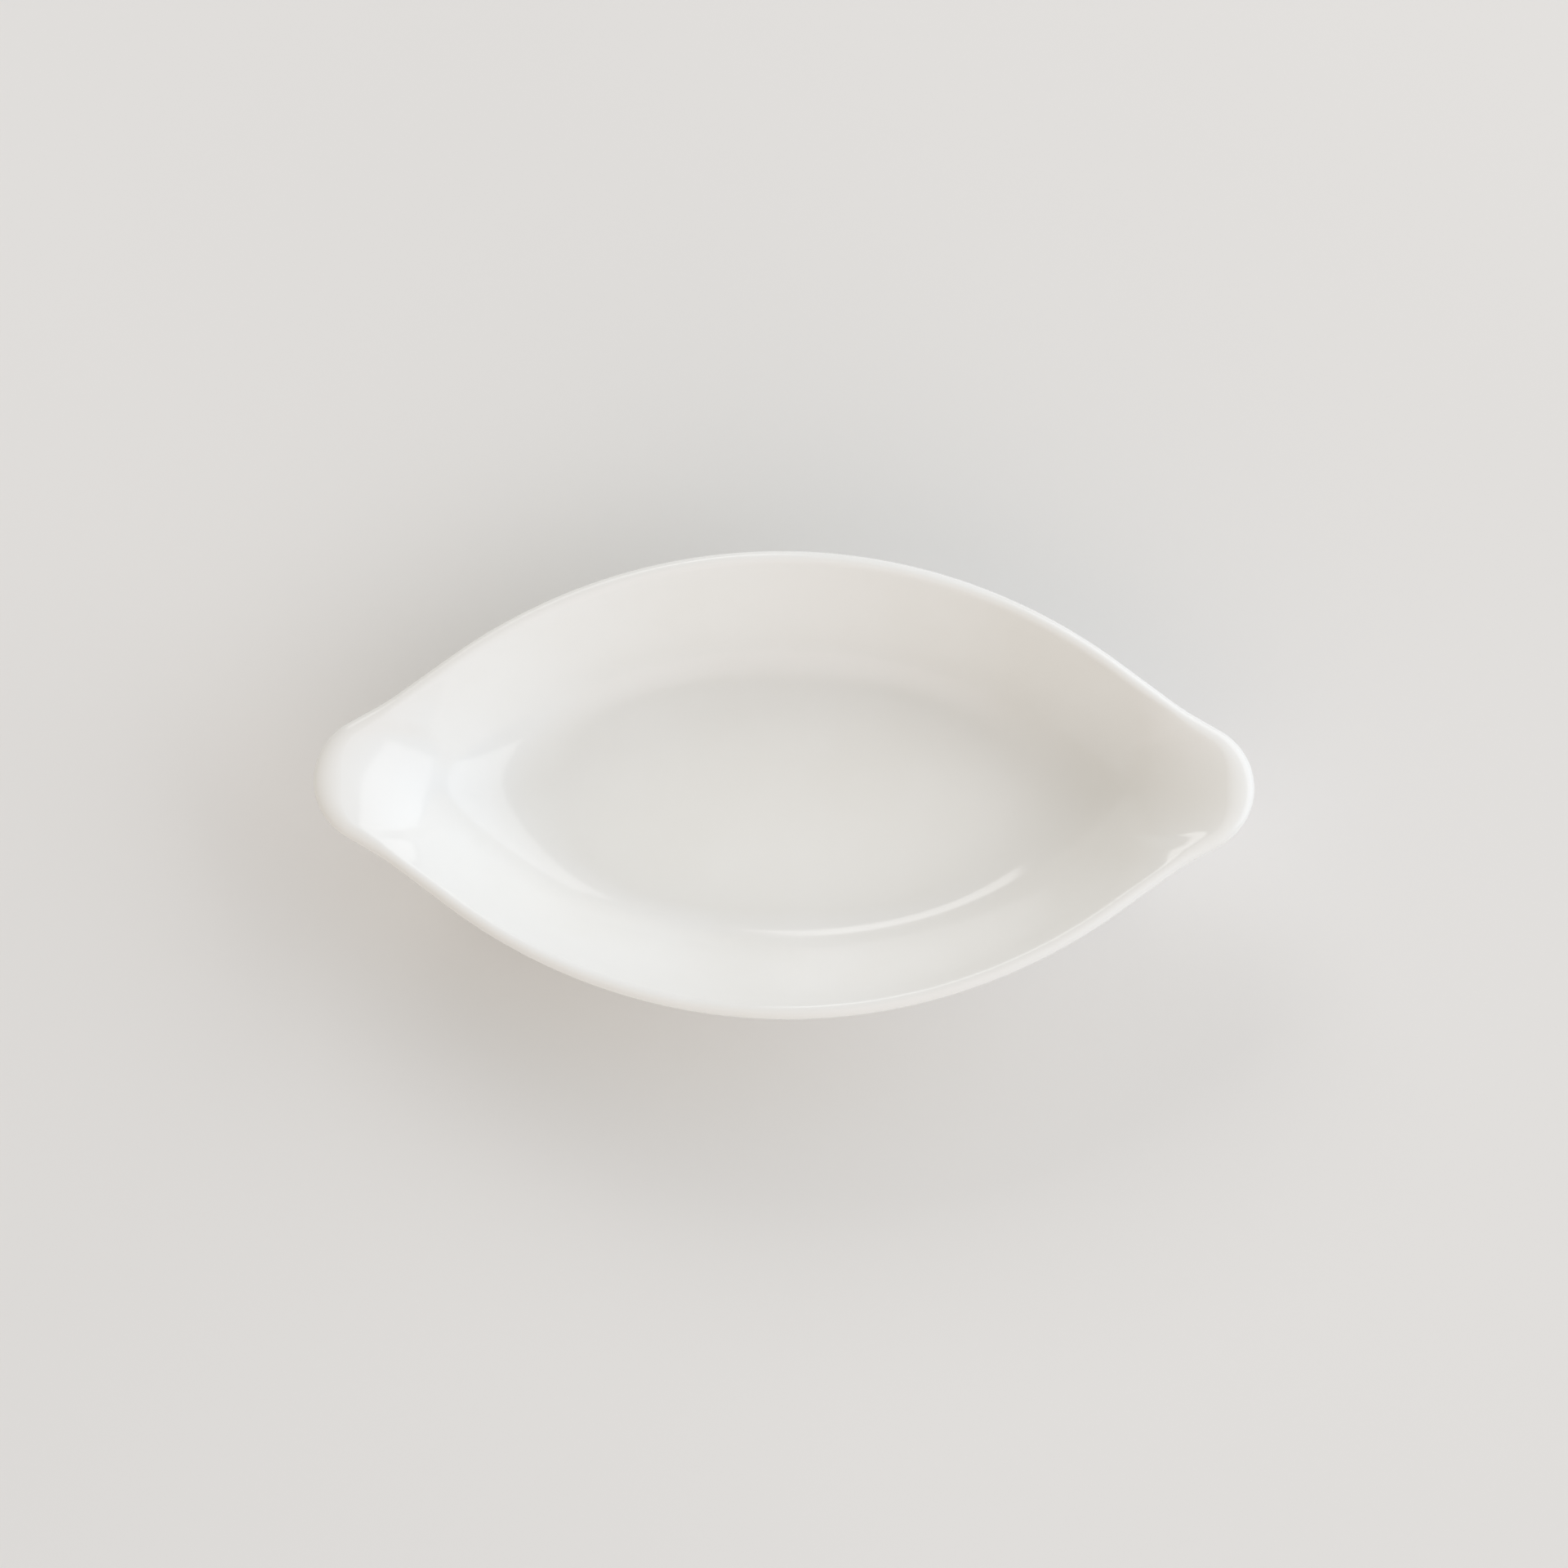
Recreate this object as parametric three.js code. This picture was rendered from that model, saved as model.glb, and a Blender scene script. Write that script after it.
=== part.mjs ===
// Oval eared dish: a pressed porcelain body under a fired glaze.
// Millimetres, +Z up, +X through the two ears, origin at the middle of the foot's resting plane.
import * as THREE from 'three';

// Outline of the rim, seen from above
const LENGTH = 203; // over both ears
const WIDTH = 101.8; // over the long sides
const EAR_LENGTH = 15.5; // from the neck to the ear's tip
const NECK_WIDTH = 34.2; // across the outline where an ear begins
const EAR_STRAIGHT = 9.6; // straight edge from the neck to the ear's round end
const FLANK_STRAIGHT = 17; // straight edge from the neck to the long side's arc
const NECK_BLEND = 3; // rounding of the neck's inner corner, along each edge

// Heights
const HEIGHT = 32.5; // resting plane to the top of the rim
const FOOT_HEIGHT = 2.5; // resting plane to the underside of the base
const BASE = 5; // thickness of the base under the flat floor

// Thickness of the wall
const WALL = 4.4; // at the base
const RIM = 3.4; // at the rim, which is rounded all the way over
const WALL_STRAIGHT = 0.5; // least straight run of the wall between its upper and lower rounding

// Toe: the oval where the floor and the wall would meet if nothing were rounded
const TOE_INSET_SIDE = 20; // from the rim's edge at the long sides
const TOE_INSET_EAR = 39; // from an ear's tip
const TOE_BLEND_SIDE = 6; // how far the rounding reaches along floor and wall, at the long sides
const TOE_BLEND_EAR = 15; // the same on the way to the ears

// Shoulder: the line where the wall turns out into the lip, before rounding
const LIP_SIDE = 0.75; // from the rim's round to the shoulder, along the sides
const LIP_EAR = 16.5; // from an ear's tip to the shoulder
const LIP_DROP = 2; // from the top of the rim down to the shoulder, along the sides
const EAR_DROP = 3.5; // the same at an ear
const EAR_ROUND = 4; // from an ear's tip in to the top of the rim's round

// Foot ring: an oval ridge under the base, left bare where the dish stands in the kiln
const FOOT_INSET_SIDE = 5.5; // from the toe in to the ridge, at the long sides
const FOOT_INSET_EAR = 16.5; // the same toward the ears
const FOOT_BREADTH = 4.2; // across the ridge
const FOOT_ROUND = 0.8; // radius of its two lower edges
const BARE_BAND = 0.4; // bare clay above those edges

const GLAZE = 0.3; // thickness of the glaze
const BOND = 0.02; // hairline between the glaze and the clay it is fused to

const FAN = 1.2; // how strongly the wall's sections fan out from the middle toward the long sides

// Facets: along the pieces of a quarter outline, along the pieces of a section, on a foot edge
const EAR_STEPS = [5, 1, 2];
const FLANK_STEPS = 3;
const SIDE_STEPS = 9;
const WALL_STEPS = [4, 2, 3];
const RIM_STEPS = [1, 3, 2];
const OUTER_STEPS = [3, 2, 5];
const FOOT_STEPS = 2;

const FLOOR_LEVEL = FOOT_HEIGHT + BASE;
const BARE_LEVEL = FOOT_ROUND + BARE_BAND;
const SHOULDER_INSET = RIM + LIP_SIDE;
const TOE_X = LENGTH / 2 - TOE_INSET_EAR;
const TOE_Y = WIDTH / 2 - TOE_INSET_SIDE;
const FOOT_X = TOE_X - FOOT_INSET_EAR;
const FOOT_Y = TOE_Y - FOOT_INSET_SIDE;
const UP = new THREE.Vector3(0, 0, 1);
const { lerp, smoothstep } = THREE.MathUtils;

const along = (from, direction, distance) => from.clone().addScaledVector(direction, distance);
const toward = (from, to) => to.clone().sub(from).normalize();
const flat = (x, y) => new THREE.Vector2(x, y);
const raise = ({ x, y }, z = 0) => new THREE.Vector3(x, y, z);

/** Points along joined curves, without the last one. */
const sample = (curves, steps) =>
  curves.flatMap((curve, k) => curve.getPoints(steps[k]).slice(0, -1));

/** Directions square to joined curves, to the right of travel, at the points of sample(). */
const squareTo = (curves, steps) =>
  curves.flatMap((curve, k) =>
    Array.from({ length: steps[k] }, (_, i) => {
      const tangent = curve.getTangent(i / steps[k]);
      return flat(tangent.y, -tangent.x);
    }),
  );

/** Share of two roundings' reaches that a straight line between two corners leaves room for. */
const fitting = (low, high, lowReach, highReach) =>
  Math.min(1, (low.distanceTo(high) - WALL_STRAIGHT) / (lowReach + highReach));

/** Arc from the end of an axis that runs tangent into a straight edge ending at the neck. */
function endArc(reach, halfNeck, straight) {
  const turn = 2 * Math.atan(reach / (halfNeck + straight));
  const tangent = halfNeck - reach / Math.tan(turn);
  return { turn, radius: tangent / Math.tan(turn / 2) };
}

/** Rim edge, its outward direction, the shoulder and the share of ear in the section (1 at an ear's tip,
 * 0 beyond the neck), as a list from an ear's tip to the middle of a long side. */
function quarterOutline() {
  const neck = flat(LENGTH / 2 - EAR_LENGTH, NECK_WIDTH / 2);
  const ear = endArc(EAR_LENGTH, neck.y, EAR_STRAIGHT);
  const side = endArc(WIDTH / 2 - neck.y, neck.x, FLANK_STRAIGHT);
  const sideStart = Math.PI / 2 - side.turn;
  const sideMiddle = WIDTH / 2 - side.radius;
  const circle = (x, y, radius, start, end) => new THREE.EllipseCurve(x, y, radius, radius, start, end);

  const earArc = circle(LENGTH / 2 - ear.radius, 0, ear.radius, 0, ear.turn);
  const sideArc = circle(0, sideMiddle, side.radius, sideStart, Math.PI / 2);
  const earEnd = earArc.getPoint(1);
  const flankEnd = sideArc.getPoint(0);
  const neckIn = along(neck, toward(neck, earEnd), NECK_BLEND);
  const neckOut = along(neck, toward(neck, flankEnd), NECK_BLEND);
  const rimCurves = [
    earArc,
    new THREE.LineCurve(earEnd, neckIn),
    new THREE.QuadraticBezierCurve(neckIn, neck, neckOut),
    new THREE.LineCurve(neckOut, flankEnd),
    sideArc,
  ];

  // The shoulder runs parallel to the side; from there it bends off the flank's direction across the ear.
  const shoulderSide = circle(0, sideMiddle, side.radius - SHOULDER_INSET, sideStart, Math.PI / 2);
  const flankStart = shoulderSide.getPoint(0);
  const tip = LENGTH / 2 - LIP_EAR;
  const corner = flat(tip, flankStart.y - (tip - flankStart.x) / Math.tan(sideStart));
  const shoulderEnd = new THREE.QuadraticBezierCurve(flat(tip, 0), corner, flankStart);

  const rimSteps = [...EAR_STEPS, FLANK_STEPS, SIDE_STEPS];
  const earSteps = EAR_STEPS.reduce((sum, steps) => sum + steps);
  const shoulder = sample([shoulderEnd, shoulderSide], [earSteps + FLANK_STEPS, SIDE_STEPS]);
  const outward = squareTo(rimCurves, rimSteps);
  const places = sample(rimCurves, rimSteps).map((edge, i) => ({
    edge, outward: outward[i], shoulder: shoulder[i], earness: 1 - smoothstep(i, 0, earSteps),
  }));
  const middle = {
    edge: flat(0, WIDTH / 2), outward: flat(0, 1), shoulder: flat(0, WIDTH / 2 - SHOULDER_INSET), earness: 0,
  };
  return [...places, middle];
}

/** The whole outline, counter-clockwise, from the quarter and its mirror images. */
function outline() {
  const quarter = quarterOutline();
  const forward = quarter.slice(0, -1);
  const backward = quarter.slice(1).reverse();
  const mirrored = (places, x, y) => places.map(({ edge, outward, shoulder, earness }) => ({
    edge: flat(edge.x * x, edge.y * y),
    outward: flat(outward.x * x, outward.y * y),
    shoulder: flat(shoulder.x * x, shoulder.y * y),
    earness,
  }));
  return [
    ...forward, ...mirrored(backward, -1, 1), ...mirrored(forward, -1, -1), ...mirrored(backward, 1, -1),
  ];
}

/** Surface at one place of the outline, from the flat floor's edge over the rim and down to the foot. */
function station({ edge, outward: outwardFlat, shoulder: shoulderFlat, earness }) {
  const swing = Math.atan2(FAN * shoulderFlat.y, shoulderFlat.x);
  const toeBlend = lerp(TOE_BLEND_SIDE, TOE_BLEND_EAR, Math.cos(swing) ** 4);
  const rim = RIM / 2;
  const rimReach = lerp(rim, EAR_ROUND, earness);

  const outward = raise(outwardFlat);
  const rimMiddle = along(raise(edge, HEIGHT - rim), outward, -rimReach);
  const shoulder = raise(shoulderFlat, HEIGHT - lerp(LIP_DROP, EAR_DROP, earness));
  const toe = raise(flat(TOE_X * Math.cos(swing), TOE_Y * Math.sin(swing)), FLOOR_LEVEL);
  const radial = raise(toe).normalize();

  // The lip leaves the shoulder along the line that touches the rim's round from above. The round is an
  // ellipse: with widths shrunk by its squash it is a circle, and there the line is a plain tangent.
  const squash = rim / rimReach;
  const lipRun = Math.hypot(rimMiddle.x - shoulder.x, rimMiddle.y - shoulder.y) * squash;
  const lipRise = rimMiddle.z - shoulder.z;
  const lipTurn = Math.atan2(lipRise, lipRun) + Math.asin(rim / Math.hypot(lipRun, lipRise));
  const lipAngle = Math.atan(Math.tan(lipTurn) * squash);
  const onRim = (turn) =>
    along(along(rimMiddle, outward, rimReach * Math.cos(turn)), UP, rim * Math.sin(turn));
  const lipInside = onRim(lipTurn + Math.PI / 2);
  const lipOutside = onRim(lipTurn - Math.PI / 2);

  // The wall thickens from the rim's thickness at the shoulder down to its own at the base.
  const rise = toward(toe, shoulder);
  const out = raise(rise).normalize();
  const slope = Math.asin(rise.z);
  const offset = (from, angle, distance) =>
    along(along(from, out, distance * Math.sin(angle)), UP, -distance * Math.cos(angle));
  const middleAngle = (slope + lipAngle) / 2;
  const shoulderOutside = offset(shoulder, middleAngle, RIM / Math.cos((slope - lipAngle) / 2));
  const wallFoot = offset(toe, slope, WALL);
  const riseOutside = toward(wallFoot, shoulderOutside);
  const toeOutside = along(wallFoot, riseOutside, (FOOT_HEIGHT - wallFoot.z) / riseOutside.z);

  const footEdge = radial.clone().divideScalar(Math.hypot(radial.x / FOOT_X, radial.y / FOOT_Y));
  const footOutward = raise(flat(footEdge.x / FOOT_X ** 2, footEdge.y / FOOT_Y ** 2)).normalize();
  const onFoot = (inward, z) => along(along(footEdge, footOutward, -inward), UP, z);
  const footTop = onFoot(0, FOOT_HEIGHT);

  const lipBlend = lipInside.distanceTo(shoulder);
  const lipBlendOutside = lipOutside.distanceTo(shoulderOutside);
  const toeBlendOutside = toeOutside.distanceTo(footTop);
  const room = fitting(toe, shoulder, toeBlend, lipBlend);
  const roomOutside = fitting(toeOutside, shoulderOutside, toeBlendOutside, lipBlendOutside);
  const wallLow = along(toe, rise, toeBlend * room);
  const wallHigh = along(shoulder, rise, -lipBlend * room);
  const wallHighOutside = along(shoulderOutside, riseOutside, -lipBlendOutside * roomOutside);
  const wallLowOutside = along(toeOutside, riseOutside, toeBlendOutside * roomOutside);
  const before = sample([
    new THREE.QuadraticBezierCurve3(along(toe, radial, -toeBlend), toe, wallLow),
    new THREE.LineCurve3(wallLow, wallHigh),
    new THREE.QuadraticBezierCurve3(wallHigh, shoulder, lipInside),
  ], WALL_STEPS);
  const turns = [lipTurn + Math.PI / 2, Math.PI / 2, 0, lipTurn - Math.PI / 2];
  const round = RIM_STEPS.flatMap((steps, k) =>
    Array.from({ length: steps }, (_, i) => onRim(lerp(turns[k], turns[k + 1], i / steps))),
  );
  const after = sample([
    new THREE.QuadraticBezierCurve3(lipOutside, shoulderOutside, wallHighOutside),
    new THREE.LineCurve3(wallHighOutside, wallLowOutside),
    new THREE.QuadraticBezierCurve3(wallLowOutside, toeOutside, footTop),
  ], OUTER_STEPS);

  return { wall: [...before, ...round, ...after], onFoot };
}

/** Rings moved square into the dish by a depth; the first and last ring given only guide the others. */
function sunk(guided, depth) {
  return guided.slice(1, -1).map((places, k) =>
    places.map((place, i) => {
      const count = places.length;
      const around = places[(i + 1) % count].clone().sub(places[(i + count - 1) % count]);
      const outward = guided[k + 2][i].clone().sub(guided[k][i]).cross(around).normalize();
      return along(place, outward, -depth);
    }),
  );
}

/** Triangles between successive rings of points; a ring of one repeated point closes an end. */
function skin(rings) {
  const triangles = [];
  for (let level = 0; level + 1 < rings.length; level += 1) {
    const near = rings[level];
    const far = rings[level + 1];
    near.forEach((a, i) => {
      const next = (i + 1) % near.length;
      const [b, c, d] = [far[i], far[next], near[next]];
      if (b !== c) triangles.push([a, b, c]);
      if (a !== d) triangles.push([a, c, d]);
    });
  }
  return triangles;
}

const facingBack = (triangles) => triangles.map(([a, b, c]) => [a, c, b]);

function piece(name, triangles, look) {
  const geometry = new THREE.BufferGeometry().setFromPoints(triangles.flat());
  geometry.computeVertexNormals();
  const mesh = new THREE.Mesh(geometry, new THREE.MeshStandardMaterial(look));
  mesh.name = name;
  return mesh;
}

const stations = outline().map(station);
const wall = stations[0].wall.map((_, level) => stations.map((place) => place.wall[level]));
const footRing = (inward, z) => stations.map((place) => place.onFoot(inward, z));
const pole = (z) => {
  const middle = new THREE.Vector3(0, 0, z);
  return stations.map(() => middle);
};

/** Skin at a depth below the finished surface, from the floor over the rim to the foot's bare band. */
const outside = (depth, bareInset) => skin([
  pole(FLOOR_LEVEL - depth),
  ...sunk([pole(FLOOR_LEVEL), ...wall, footRing(0, FOOT_HEIGHT)], depth),
  footRing(depth, FOOT_HEIGHT + depth),
  footRing(bareInset, BARE_LEVEL),
]);

/** The same inside the foot ring, from the bare band to the middle of the base's underside. */
const recess = (depth, bareInset) => skin([
  footRing(FOOT_BREADTH - bareInset, BARE_LEVEL),
  footRing(FOOT_BREADTH - depth, FOOT_HEIGHT + depth),
  pole(FOOT_HEIGHT + depth),
]);

/** The bare part of the foot ring, round at its two lower edges. */
function bareFoot() {
  const edge = Array.from({ length: FOOT_STEPS + 1 }, (_, k) => {
    const turn = (k / FOOT_STEPS) * (Math.PI / 2);
    return { inward: BOND + FOOT_ROUND * (1 - Math.cos(turn)), z: FOOT_ROUND * (1 - Math.sin(turn)) };
  });
  return skin([
    footRing(BOND, BARE_LEVEL),
    ...edge.map(({ inward, z }) => footRing(inward, z)),
    ...edge.toReversed().map(({ inward, z }) => footRing(FOOT_BREADTH - inward, z)),
    footRing(FOOT_BREADTH - BOND, BARE_LEVEL),
  ]);
}

const clayDepth = GLAZE + BOND;
const part = new THREE.Group();
part.name = 'oval_eared_dish';
part.add(piece('clay_body', [...outside(clayDepth, BOND), ...bareFoot(), ...recess(clayDepth, BOND)], {
  color: 0xd8d1c5, roughness: 0.85, metalness: 0,
}));
part.add(piece('glaze_coat', [...outside(0, 0), ...facingBack(outside(GLAZE, 0))], {
  color: 0xefede8, roughness: 0.12, metalness: 0,
}));
part.add(piece('base_glaze', [...recess(0, 0), ...facingBack(recess(GLAZE, 0))], {
  color: 0xefede8, roughness: 0.15, metalness: 0,
}));

export default part;
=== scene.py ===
import math

import bpy
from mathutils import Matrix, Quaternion, Vector


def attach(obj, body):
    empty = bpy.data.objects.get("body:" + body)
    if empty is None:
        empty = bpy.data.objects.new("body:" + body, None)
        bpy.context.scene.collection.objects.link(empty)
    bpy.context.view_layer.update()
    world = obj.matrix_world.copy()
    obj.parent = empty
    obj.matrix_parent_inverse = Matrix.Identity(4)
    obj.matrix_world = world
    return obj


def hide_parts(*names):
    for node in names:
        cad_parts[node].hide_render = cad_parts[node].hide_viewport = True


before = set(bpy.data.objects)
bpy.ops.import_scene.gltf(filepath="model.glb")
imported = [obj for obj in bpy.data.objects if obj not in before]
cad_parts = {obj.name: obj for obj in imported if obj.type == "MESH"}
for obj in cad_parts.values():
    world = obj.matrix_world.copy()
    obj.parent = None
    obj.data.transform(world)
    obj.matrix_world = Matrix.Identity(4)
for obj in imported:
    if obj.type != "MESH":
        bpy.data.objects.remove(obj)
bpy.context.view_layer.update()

MM = 0.001

# Outline of the rim, seen from above
LENGTH = 203  # over both ears
WIDTH = 101.8  # over the long sides
EAR_LENGTH = 15.5  # from the neck to the ear's tip
NECK_WIDTH = 34.2  # across the outline where an ear begins
EAR_STRAIGHT = 9.6  # straight edge from the neck to the ear's round end
FLANK_STRAIGHT = 17  # straight edge from the neck to the long side's arc
NECK_BLEND = 3  # rounding of the neck's inner corner, along each edge

# Heights
HEIGHT = 32.5  # resting plane to the top of the rim
FOOT_HEIGHT = 2.5  # resting plane to the underside of the base
BASE = 5  # thickness of the base under the flat floor

# Thickness of the wall
WALL = 4.4  # at the base
RIM = 3.4  # at the rim, which is rounded all the way over
WALL_STRAIGHT = 0.5  # least straight run of the wall between its upper and lower rounding

# Toe: the oval where the floor and the wall would meet if nothing were rounded
TOE_INSET_SIDE = 20  # from the rim's edge at the long sides
TOE_INSET_EAR = 39  # from an ear's tip
TOE_BLEND_SIDE = 6  # how far the rounding reaches along floor and wall, at the long sides
TOE_BLEND_EAR = 15  # the same on the way to the ears
TOE_FADE = 4  # power of the cosine by which the ears' reach gives way to the sides'

# Shoulder: the line where the wall turns out into the lip, before rounding
LIP_SIDE = 0.75  # from the rim's round to the shoulder, along the sides
LIP_EAR = 16.5  # from an ear's tip to the shoulder
LIP_DROP = 2  # from the top of the rim down to the shoulder, along the sides
EAR_DROP = 3.5  # the same at an ear
EAR_ROUND = 4  # from an ear's tip in to the top of the rim's round

# Foot ring: an oval ridge under the base, left bare where the dish stands in the kiln
FOOT_INSET_SIDE = 5.5  # from the toe in to the ridge, at the long sides
FOOT_INSET_EAR = 16.5  # the same toward the ears
FOOT_BREADTH = 4.2  # across the ridge
FOOT_ROUND = 0.8  # radius of its two lower edges
BARE_BAND = 0.4  # bare clay above those edges

GLAZE = 0.3  # thickness of the glaze
BOND = 0.02  # hairline between the glaze and the clay it is fused to
FAN = 1.2  # how strongly the wall's sections fan out from the middle toward the long sides

# Facets: along the pieces of a quarter outline, across the floor, along the pieces of a section
EAR_STEPS = [20, 4, 8]
FLANK_STEPS = 12
SIDE_STEPS = 30
FLOOR_STEPS = 6
WALL_STEPS = [14, 6, 10]
RIM_STEPS = [3, 10, 6]
OUTER_STEPS = [8, 6, 10]
FOOT_STEPS = 6

FLOOR_LEVEL = FOOT_HEIGHT + BASE
BARE_LEVEL = FOOT_ROUND + BARE_BAND
SHOULDER_INSET = RIM + LIP_SIDE
TOE_X = LENGTH / 2 - TOE_INSET_EAR
TOE_Y = WIDTH / 2 - TOE_INSET_SIDE
FOOT_X = TOE_X - FOOT_INSET_EAR
FOOT_Y = TOE_Y - FOOT_INSET_SIDE
UP = Vector((0, 0, 1))
QUARTER_TURN = math.pi / 2


def raised(place, z=0.0):
    return Vector((place.x, place.y, z))


def mixed(low, high, share):
    return low + (high - low) * share


def smooth_step(t):
    return t * t * (3 - 2 * t)


def shares(steps):
    """Even shares of the way along a curve, without its end."""
    return [i / steps for i in range(steps)]


def line(start, end, steps):
    return [start.lerp(end, t) for t in shares(steps)]


def bend(start, corner, end, steps):
    """A parabola from start to end, tangent to the lines from the corner."""
    return [start.lerp(corner, t).lerp(corner.lerp(end, t), t) for t in shares(steps)]


def arc_point(centre, radius, turn):
    return centre + Vector((math.cos(turn), math.sin(turn))) * radius


def arc(centre, radius, start, end, steps):
    return [arc_point(centre, radius, mixed(start, end, t)) for t in shares(steps)]


def fitting(low, high, low_reach, high_reach):
    """Share of two roundings' reaches that a straight line between two corners leaves room for."""
    return min(1, ((high - low).length - WALL_STRAIGHT) / (low_reach + high_reach))


def end_arc(reach, half_neck, straight):
    """Turn and radius of the arc from an axis that runs tangent into a straight edge ending at the neck."""
    turn = 2 * math.atan(reach / (half_neck + straight))
    tangent = half_neck - reach / math.tan(turn)
    return turn, tangent / math.tan(turn / 2)


def quarter_outline():
    """(rim edge, outward direction, shoulder, earness) from an ear's tip to the middle of a long side;
    earness is the share of ear in the section, 1 at an ear's tip and 0 beyond the neck."""
    neck = Vector((LENGTH / 2 - EAR_LENGTH, NECK_WIDTH / 2))
    ear_turn, ear_radius = end_arc(EAR_LENGTH, neck.y, EAR_STRAIGHT)
    side_turn, side_radius = end_arc(WIDTH / 2 - neck.y, neck.x, FLANK_STRAIGHT)
    side_start = QUARTER_TURN - side_turn
    ear_centre = Vector((LENGTH / 2 - ear_radius, 0))
    side_centre = Vector((0, WIDTH / 2 - side_radius))

    ear_end = arc_point(ear_centre, ear_radius, ear_turn)
    flank_end = arc_point(side_centre, side_radius, side_start)
    neck_in = neck + (ear_end - neck).normalized() * NECK_BLEND
    neck_out = neck + (flank_end - neck).normalized() * NECK_BLEND
    edges = [
        *arc(ear_centre, ear_radius, 0, ear_turn, EAR_STEPS[0]),
        *line(ear_end, neck_in, EAR_STEPS[1]),
        *bend(neck_in, neck, neck_out, EAR_STEPS[2]),
        *line(neck_out, flank_end, FLANK_STEPS),
        *arc(side_centre, side_radius, side_start, QUARTER_TURN, SIDE_STEPS),
        Vector((0, WIDTH / 2)),
    ]

    # Directions square to the edge: along the radius on an arc, turning evenly from one edge to the next
    # round the neck
    flank_out = Vector((math.cos(side_start), math.sin(side_start)))
    ear_out = Vector((math.cos(ear_turn), math.sin(ear_turn)))
    neck_tangents = [
        (neck - neck_in).lerp(neck_out - neck, t).normalized() for t in shares(EAR_STEPS[2])
    ]
    outwards = [
        *arc(Vector((0, 0)), 1, 0, ear_turn, EAR_STEPS[0]),
        *[ear_out] * EAR_STEPS[1],
        *[Vector((tangent.y, -tangent.x)) for tangent in neck_tangents],
        *[flank_out] * FLANK_STEPS,
        *arc(Vector((0, 0)), 1, side_start, QUARTER_TURN, SIDE_STEPS),
        Vector((0, 1)),
    ]

    # The shoulder runs parallel to the side; from there it bends off the flank's direction across the ear
    ear_steps = sum(EAR_STEPS)
    shoulder_radius = side_radius - SHOULDER_INSET
    flank_start = arc_point(side_centre, shoulder_radius, side_start)
    tip = Vector((LENGTH / 2 - LIP_EAR, 0))
    corner = Vector((tip.x, flank_start.y - (tip.x - flank_start.x) / math.tan(side_start)))
    shoulders = [
        *bend(tip, corner, flank_start, ear_steps + FLANK_STEPS),
        *arc(side_centre, shoulder_radius, side_start, QUARTER_TURN, SIDE_STEPS),
        Vector((0, WIDTH / 2 - SHOULDER_INSET)),
    ]
    earness = [1 - smooth_step(min(i / ear_steps, 1)) for i in range(len(edges))]
    return list(zip(edges, outwards, shoulders, earness))


def outline():
    """The whole outline, counter-clockwise, from the quarter and its mirror images."""
    quarter = quarter_outline()
    forward = quarter[:-1]
    backward = quarter[:0:-1]

    def mirrored(places, x, y):
        return [
            (*[Vector((v.x * x, v.y * y)) for v in (edge, outward, shoulder)], earness)
            for edge, outward, shoulder, earness in places
        ]

    return [*forward, *mirrored(backward, -1, 1), *mirrored(forward, -1, -1), *mirrored(backward, 1, -1)]


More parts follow.
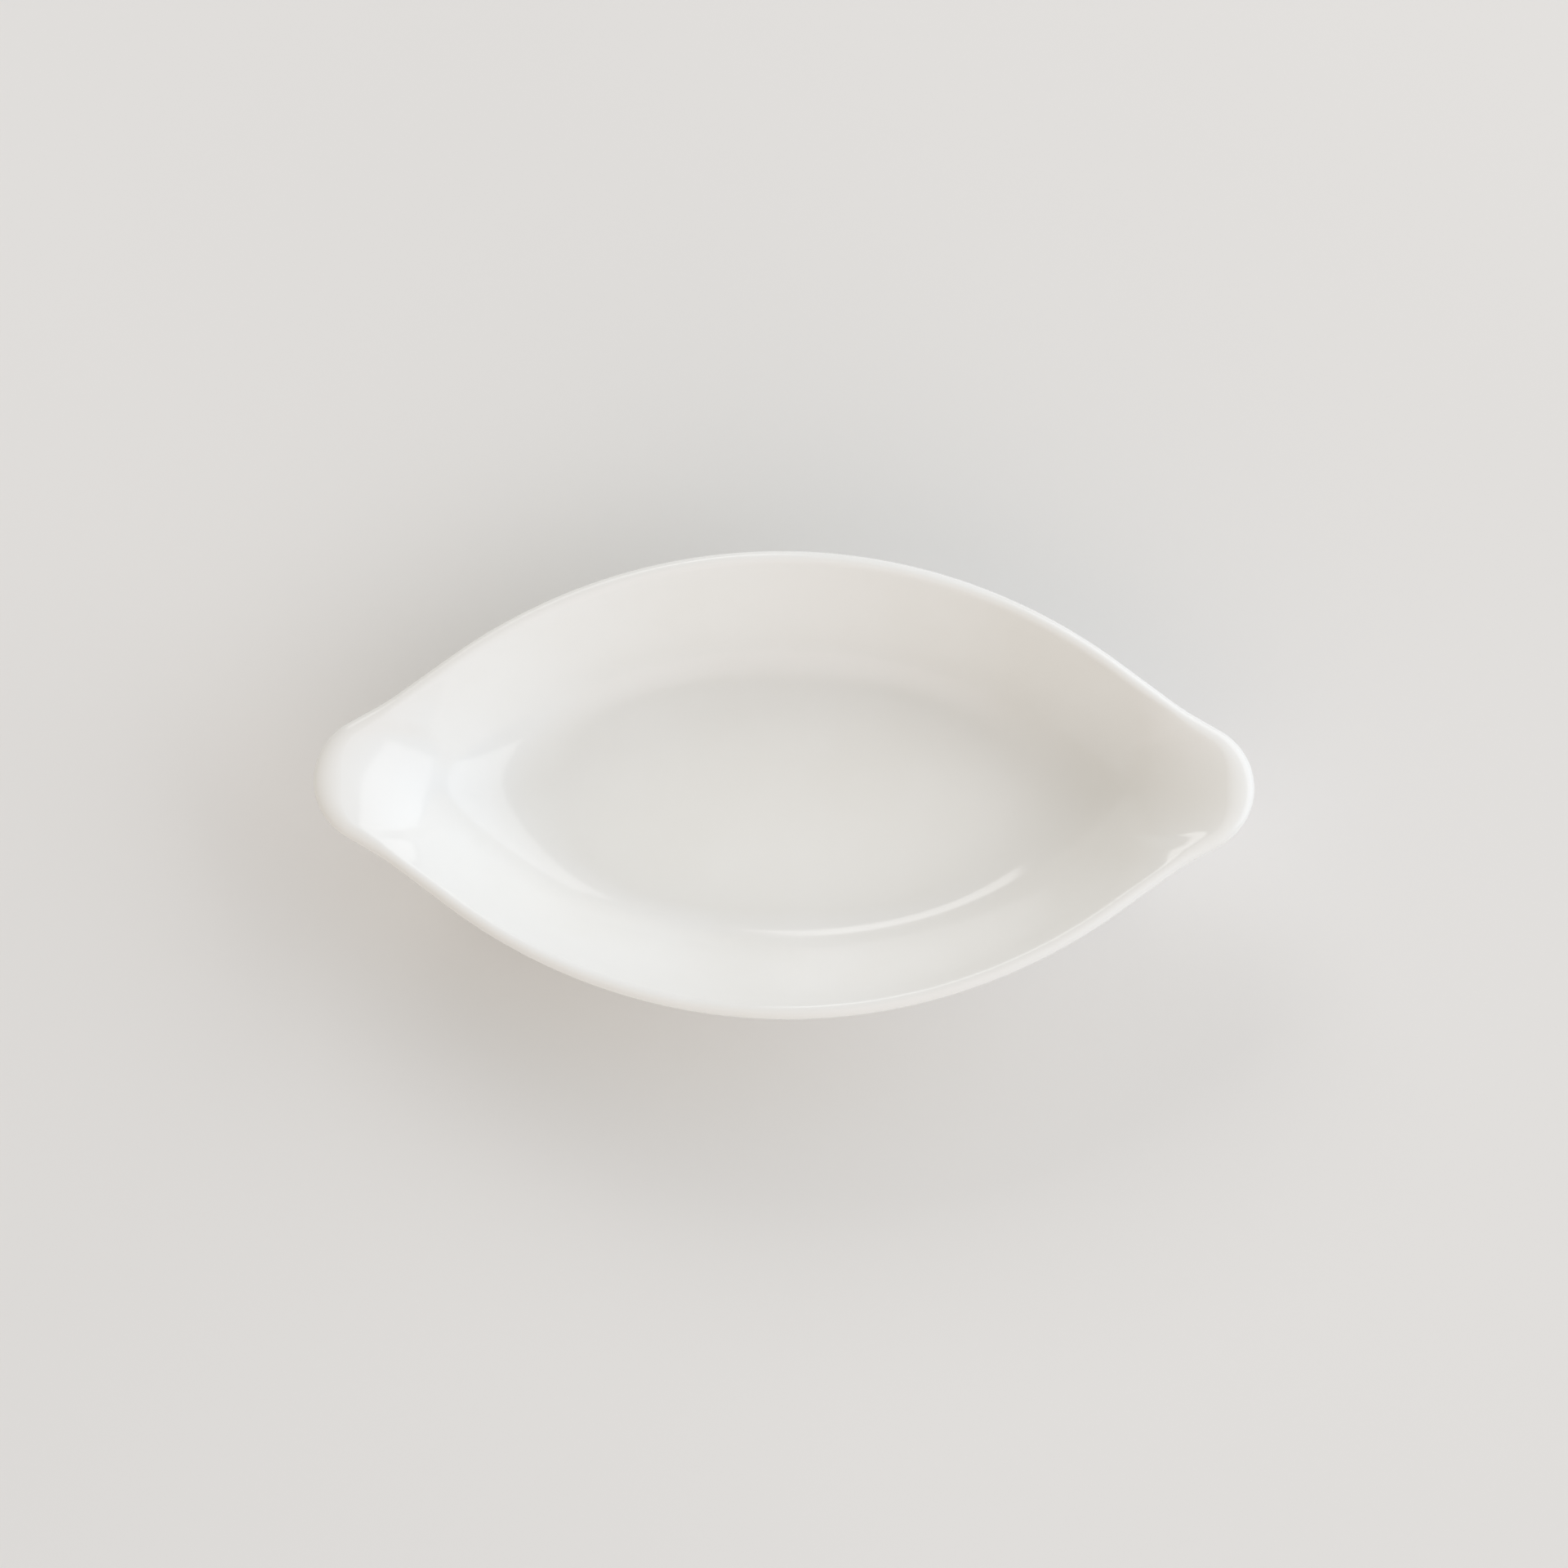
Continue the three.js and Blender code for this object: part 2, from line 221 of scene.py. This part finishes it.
def station(edge, outward_flat, shoulder_flat, earness):
    """Surface at one place of the outline, from the flat floor's edge over the rim to the foot ring, and
    the foot ring's place for a distance inward and a height."""
    swing = math.atan2(FAN * shoulder_flat.y, shoulder_flat.x)
    toe_blend = mixed(TOE_BLEND_SIDE, TOE_BLEND_EAR, math.cos(swing) ** TOE_FADE)
    rim = RIM / 2
    rim_reach = mixed(rim, EAR_ROUND, earness)

    outward = raised(outward_flat)
    rim_middle = raised(edge, HEIGHT - rim) - outward * rim_reach
    shoulder = raised(shoulder_flat, HEIGHT - mixed(LIP_DROP, EAR_DROP, earness))
    toe = Vector((TOE_X * math.cos(swing), TOE_Y * math.sin(swing), FLOOR_LEVEL))
    radial = raised(toe).normalized()

    # The lip leaves the shoulder along the line that touches the rim's round from above. The round is an
    # ellipse: with widths shrunk by its squash it is a circle, and there the line is a plain tangent.
    squash = rim / rim_reach
    lip_run = (rim_middle - shoulder).xy.length * squash
    lip_rise = rim_middle.z - shoulder.z
    lip_turn = math.atan2(lip_rise, lip_run) + math.asin(rim / math.hypot(lip_run, lip_rise))
    lip_angle = math.atan(math.tan(lip_turn) * squash)

    def on_rim(turn):
        return rim_middle + outward * (rim_reach * math.cos(turn)) + UP * (rim * math.sin(turn))

    lip_inside = on_rim(lip_turn + QUARTER_TURN)
    lip_outside = on_rim(lip_turn - QUARTER_TURN)

    # The wall thickens from the rim's thickness at the shoulder down to its own at the base
    rise = (shoulder - toe).normalized()
    out = raised(rise).normalized()
    slope = math.asin(rise.z)

    def offset(start, angle, distance):
        return start + out * (distance * math.sin(angle)) - UP * (distance * math.cos(angle))

    shoulder_thickness = RIM / math.cos((slope - lip_angle) / 2)
    shoulder_outside = offset(shoulder, (slope + lip_angle) / 2, shoulder_thickness)
    wall_foot = offset(toe, slope, WALL)
    rise_outside = (shoulder_outside - wall_foot).normalized()
    toe_outside = wall_foot + rise_outside * ((FOOT_HEIGHT - wall_foot.z) / rise_outside.z)

    foot_edge = radial / math.hypot(radial.x / FOOT_X, radial.y / FOOT_Y)
    foot_outward = Vector((foot_edge.x / FOOT_X**2, foot_edge.y / FOOT_Y**2, 0)).normalized()

    def on_foot(inward, z):
        return foot_edge - foot_outward * inward + UP * z

    foot_top = on_foot(0, FOOT_HEIGHT)
    floor_edge = toe - radial * toe_blend
    lip_blend = (lip_inside - shoulder).length
    lip_blend_outside = (lip_outside - shoulder_outside).length
    toe_blend_outside = (toe_outside - foot_top).length
    room = fitting(toe, shoulder, toe_blend, lip_blend)
    room_outside = fitting(toe_outside, shoulder_outside, toe_blend_outside, lip_blend_outside)
    wall_low = toe + rise * (toe_blend * room)
    wall_high = shoulder - rise * (lip_blend * room)
    wall_high_outside = shoulder_outside - rise_outside * (lip_blend_outside * room_outside)
    wall_low_outside = toe_outside + rise_outside * (toe_blend_outside * room_outside)
    turns = [lip_turn + QUARTER_TURN, QUARTER_TURN, 0, lip_turn - QUARTER_TURN]
    surface = [
        *line(Vector((0, 0, FLOOR_LEVEL)), floor_edge, FLOOR_STEPS)[1:],
        *bend(floor_edge, toe, wall_low, WALL_STEPS[0]),
        *line(wall_low, wall_high, WALL_STEPS[1]),
        *bend(wall_high, shoulder, lip_inside, WALL_STEPS[2]),
        *[
            on_rim(mixed(turns[k], turns[k + 1], t))
            for k, steps in enumerate(RIM_STEPS)
            for t in shares(steps)
        ],
        *bend(lip_outside, shoulder_outside, wall_high_outside, OUTER_STEPS[0]),
        *line(wall_high_outside, wall_low_outside, OUTER_STEPS[1]),
        *bend(wall_low_outside, toe_outside, foot_top, OUTER_STEPS[2]),
    ]
    return surface, on_foot


def sunk(guided, depth):
    """Rings moved square into the dish by a depth; the first and last ring given only guide the others."""
    moved = []
    for before, ring, after in zip(guided, guided[1:], guided[2:]):
        count = len(ring)
        normals = [
            (after[i] - before[i]).cross(ring[(i + 1) % count] - ring[i - 1]).normalized()
            for i in range(count)
        ]
        moved.append([place - normal * depth for place, normal in zip(ring, normals)])
    return moved


stations = [station(*place) for place in outline()]
wall_rings = [list(ring) for ring in zip(*[surface for surface, _ in stations])]


def foot_ring(inward, z):
    return [on_foot(inward, z) for _, on_foot in stations]


def pole(z):
    return [Vector((0, 0, z))] * len(stations)


def outside(depth, bare_inset):
    """Rings at a depth below the finished surface, from the floor over the rim to the foot's bare band."""
    return [
        pole(FLOOR_LEVEL - depth),
        *sunk([pole(FLOOR_LEVEL), *wall_rings, foot_ring(0, FOOT_HEIGHT)], depth),
        foot_ring(depth, FOOT_HEIGHT + depth),
        foot_ring(bare_inset, BARE_LEVEL),
    ]


def recess(depth, bare_inset):
    """The same inside the foot ring, from the bare band to the middle of the base's underside."""
    return [
        foot_ring(FOOT_BREADTH - bare_inset, BARE_LEVEL),
        foot_ring(FOOT_BREADTH - depth, FOOT_HEIGHT + depth),
        pole(FOOT_HEIGHT + depth),
    ]


def bare_foot():
    """The bare part of the foot ring, round at its two lower edges."""
    edge = []
    for t in [*shares(FOOT_STEPS), 1]:
        turn = t * QUARTER_TURN
        edge.append((BOND + FOOT_ROUND * (1 - math.cos(turn)), FOOT_ROUND * (1 - math.sin(turn))))
    return [
        *[foot_ring(inward, z) for inward, z in edge],
        *[foot_ring(FOOT_BREADTH - inward, z) for inward, z in reversed(edge)],
    ]


def piece(name, rings, material, node):
    """A closed mesh through rings of points, in place of a CAD node; a ring of one repeated place closes an
    end."""
    vertices = []
    rows = []
    for ring in rings:
        if ring[0] is ring[1]:
            rows.append([len(vertices)] * len(ring))
            vertices.append(ring[0] * MM)
        else:
            rows.append(list(range(len(vertices), len(vertices) + len(ring))))
            vertices.extend(place * MM for place in ring)
    faces = []
    for near, far in zip(rows, rows[1:]):
        for i in range(len(near)):
            corners = [near[i - 1], far[i - 1], far[i], near[i]]
            faces.append(list(dict.fromkeys(corners)))
    mesh = bpy.data.meshes.new(name)
    mesh.from_pydata(vertices, [], faces)
    mesh.shade_smooth()
    mesh.materials.append(material)
    made = bpy.data.objects.new(name, mesh)
    bpy.context.scene.collection.objects.link(made)
    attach(made, "root")
    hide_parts(node)


# Materials: waves are per metre, depths in metres
NOISE_LOW = 0.3  # least value that noise commonly has
NOISE_HIGH = 0.7  # greatest
GLAZE_IOR = 1.5
TINT_WAVES = 28  # slow drift of the glaze's tint
TINT_LOW = 0.35  # noise at which the glaze has its first tint
TINT_HIGH = 0.65  # the same for its second
GLOSS_WAVES = 90  # patches of more and less gloss
RIPPLE_WAVES = 160  # unevenness of the fired glaze
RIPPLE_DEPTH = 0.00004
RIPPLE_STRENGTH = 0.25
GRAIN_WAVES = 1800  # sanded grain of the bare clay
GRAIN_DEPTH = 0.00006
GRAIN_STRENGTH = 0.6
DRIFT_WAVES = 2.5  # broad clouds in the studio floor's tint
FLOOR_ROUGHNESS = 0.9


def new_material(name):
    material = bpy.data.materials.new(name)
    material.use_nodes = True
    nodes = material.node_tree.nodes
    return material, nodes, material.node_tree.links, nodes["Principled BSDF"]


def noise(nodes, links, scale, detail=2.0, roughness=0.5):
    """Noise over the object's own coordinates; scale is in waves per metre."""
    coordinates = nodes.new("ShaderNodeTexCoord")
    texture = nodes.new("ShaderNodeTexNoise")
    texture.inputs["Scale"].default_value = scale
    texture.inputs["Detail"].default_value = detail
    texture.inputs["Roughness"].default_value = roughness
    links.new(coordinates.outputs["Object"], texture.inputs["Vector"])
    return texture.outputs["Fac"]


def ramp(nodes, links, factor, stops):
    """Colours along a factor; stops are (place, colour)."""
    made = nodes.new("ShaderNodeValToRGB")
    elements = made.color_ramp.elements
    for element, (place, colour) in zip(elements, stops):
        element.position = place
        element.color = (*colour, 1)
    links.new(factor, made.inputs["Fac"])
    return made.outputs["Color"]


def spread(nodes, links, factor, low, high):
    """A noise factor, spread over the values from low to high."""
    made = nodes.new("ShaderNodeMapRange")
    made.inputs["From Min"].default_value = NOISE_LOW
    made.inputs["From Max"].default_value = NOISE_HIGH
    made.inputs["To Min"].default_value = low
    made.inputs["To Max"].default_value = high
    links.new(factor, made.inputs["Value"])
    return made.outputs["Result"]


def bump(nodes, links, height, depth, strength):
    made = nodes.new("ShaderNodeBump")
    made.inputs["Distance"].default_value = depth
    made.inputs["Strength"].default_value = strength
    links.new(height, made.inputs["Height"])
    return made.outputs["Normal"]


def glaze_material(name, thin_colour, thick_colour, smooth, rough):
    """White glaze: drifts between two tints, varies in roughness and ripples very slightly."""
    material, nodes, links, shader = new_material(name)
    shader.inputs["IOR"].default_value = GLAZE_IOR
    tint = noise(nodes, links, TINT_WAVES, detail=3)
    links.new(
        ramp(nodes, links, tint, [(TINT_LOW, thin_colour), (TINT_HIGH, thick_colour)]),
        shader.inputs["Base Color"],
    )
    gloss = noise(nodes, links, GLOSS_WAVES, detail=4)
    links.new(spread(nodes, links, gloss, smooth, rough), shader.inputs["Roughness"])
    ripple = noise(nodes, links, RIPPLE_WAVES, detail=1)
    links.new(bump(nodes, links, ripple, RIPPLE_DEPTH, RIPPLE_STRENGTH), shader.inputs["Normal"])
    return material


def clay_material():
    """Unglazed vitrified body: matt, faintly speckled, sanded grain."""
    material, nodes, links, shader = new_material("bare_clay")
    grain = noise(nodes, links, GRAIN_WAVES, detail=4, roughness=0.7)
    links.new(
        ramp(nodes, links, grain, [(NOISE_LOW, (0.60, 0.55, 0.48)), (NOISE_HIGH, (0.74, 0.70, 0.63))]),
        shader.inputs["Base Color"],
    )
    links.new(spread(nodes, links, grain, low=0.75, high=0.95), shader.inputs["Roughness"])
    links.new(bump(nodes, links, grain, GRAIN_DEPTH, GRAIN_STRENGTH), shader.inputs["Normal"])
    return material


def floor_material():
    """Plain pale floor, matt and very slightly clouded."""
    material, nodes, links, shader = new_material("studio_floor")
    drift = noise(nodes, links, DRIFT_WAVES)
    links.new(
        ramp(nodes, links, drift, [(NOISE_LOW, (0.79, 0.78, 0.765)), (NOISE_HIGH, (0.82, 0.81, 0.795))]),
        shader.inputs["Base Color"],
    )
    shader.inputs["Roughness"].default_value = FLOOR_ROUGHNESS
    return material


glaze = glaze_material(
    "glaze", thin_colour=(0.86, 0.85, 0.82), thick_colour=(0.88, 0.873, 0.85), smooth=0.1, rough=0.16
)
base_glaze = glaze_material(
    "base_glaze", thin_colour=(0.85, 0.84, 0.81), thick_colour=(0.87, 0.863, 0.84), smooth=0.1, rough=0.2
)
clay = clay_material()

clay_depth = GLAZE + BOND
piece(
    "porcelain_body",
    [*outside(clay_depth, BOND), *bare_foot(), *recess(clay_depth, BOND)],
    clay, "clay_body",
)
piece(
    "body_glaze",
    [*outside(0, 0), *reversed(outside(GLAZE, 0)[:-1])],
    glaze, "glaze_coat",
)
piece(
    "recess_glaze",
    [*recess(0, 0), *reversed(recess(GLAZE, 0)[1:])],
    base_glaze, "base_glaze",
)

# Studio: floor, lamps, world, camera
FLOOR_HALF = 15.0  # half of the floor's side, in metres
FLOOR_DROP = -0.00005  # just under the foot, so that the two faces don't coincide
floor_mesh = bpy.data.meshes.new("studio_floor")
floor_corners = [(-1, -1), (1, -1), (1, 1), (-1, 1)]
floor_mesh.from_pydata(
    [(x * FLOOR_HALF, y * FLOOR_HALF, FLOOR_DROP) for x, y in floor_corners], [], [(0, 1, 2, 3)]
)
floor_mesh.materials.append(floor_material())
floor = bpy.data.objects.new("studio_floor", floor_mesh)
bpy.context.scene.collection.objects.link(floor)

TARGET = Vector((0, 0, (HEIGHT - RIM / 2) * MM))  # where the lamps and the camera point


def direction(azimuth, elevation):
    """Unit vector; azimuth 0 is -Y and 90 is +X, elevation is above the horizon, in degrees."""
    a = math.radians(azimuth)
    e = math.radians(elevation)
    return Vector((math.sin(a) * math.cos(e), -math.cos(a) * math.cos(e), math.sin(e)))


def softbox(name, azimuth, elevation, distance, width, height, radiance):
    """A rectangular lamp facing the dish; radiance 1 is as bright as a white surface in the picture."""
    lamp = bpy.data.lights.new(name, "AREA")
    lamp.shape = "RECTANGLE"
    lamp.size = width
    lamp.size_y = height
    lamp.energy = radiance * width * height * math.pi
    made = bpy.data.objects.new(name, lamp)
    back = direction(azimuth, elevation)
    made.location = TARGET + back * distance
    made.rotation_mode = "QUATERNION"
    made.rotation_quaternion = (-back).to_track_quat("-Z", "Y")
    made.visible_camera = False
    bpy.context.scene.collection.objects.link(made)


# Lamps: the broad box on the right is the key, the one behind draws the streak where the floor bends up
softbox("key_box", azimuth=110, elevation=29, distance=3, width=5.3, height=2.3, radiance=1.46)
softbox("far_box", azimuth=198, elevation=29, distance=3, width=1.75, height=1.04, radiance=2.85)

# World: a warm room with broad, soft-edged daylight from the front, the right and behind
ROOM = (0.422, 0.388, 0.307)
GLOW_REACH = 60  # degrees from a glow's middle to where it has faded out
GLOWS = [  # azimuth, elevation, radiance
    (0, 35, (0.79, 0.755, 0.81)),
    (90, 10, (0.01, 0.2, 0.465)),
    (180, 35, (0.085, 0.123, 0.235)),
]


def vector_math(nodes, links, operation, first, second):
    """Outputs of a vector operation; the first input is a socket, the second a socket or a vector."""
    made = nodes.new("ShaderNodeVectorMath")
    made.operation = operation
    links.new(first, made.inputs[0])
    if isinstance(second, tuple):
        made.inputs[1].default_value = second
    else:
        links.new(second, made.inputs[1])
    return made.outputs


def studio_world():
    """The room's even light with the glows added to it."""
    world = bpy.data.worlds.new("studio")
    world.use_nodes = True
    nodes = world.node_tree.nodes
    links = world.node_tree.links
    sky = nodes.new("ShaderNodeTexCoord").outputs["Generated"]
    light = ROOM
    for azimuth, elevation, radiance in GLOWS:
        middle = tuple(direction(azimuth, elevation))
        toward = vector_math(nodes, links, "DOT_PRODUCT", sky, middle)["Value"]
        fade = nodes.new("ShaderNodeMapRange")
        fade.interpolation_type = "SMOOTHSTEP"
        fade.inputs["From Min"].default_value = math.cos(math.radians(GLOW_REACH))
        links.new(toward, fade.inputs["Value"])
        glow = vector_math(nodes, links, "MULTIPLY", fade.outputs["Result"], radiance)["Vector"]
        light = vector_math(nodes, links, "ADD", glow, light)["Vector"]
    links.new(light, nodes["Background"].inputs["Color"])
    return world


bpy.context.scene.world = studio_world()

# Camera
ELEVATION = 83  # degrees above the horizon
DISTANCE = 1.2  # from the target, in metres
VIEW_WIDTH = 0.3383  # of the picture's frame, at the rim's height, in metres
SENSOR = 36  # width of the sensor, in millimetres
ROLL = 0.535  # the dish lies this many degrees clockwise in the picture
camera = bpy.data.objects.new("camera", bpy.data.cameras.new("camera"))
camera.data.sensor_width = SENSOR
camera.data.lens = SENSOR * DISTANCE / VIEW_WIDTH
back = direction(0, ELEVATION)
camera.location = TARGET + back * DISTANCE
camera.rotation_mode = "QUATERNION"
camera.rotation_quaternion = (-back).to_track_quat("-Z", "Y") @ Quaternion((0, 0, 1), math.radians(ROLL))
bpy.context.scene.collection.objects.link(camera)
bpy.context.scene.camera = camera
bpy.context.scene.view_settings.view_transform = "Standard"
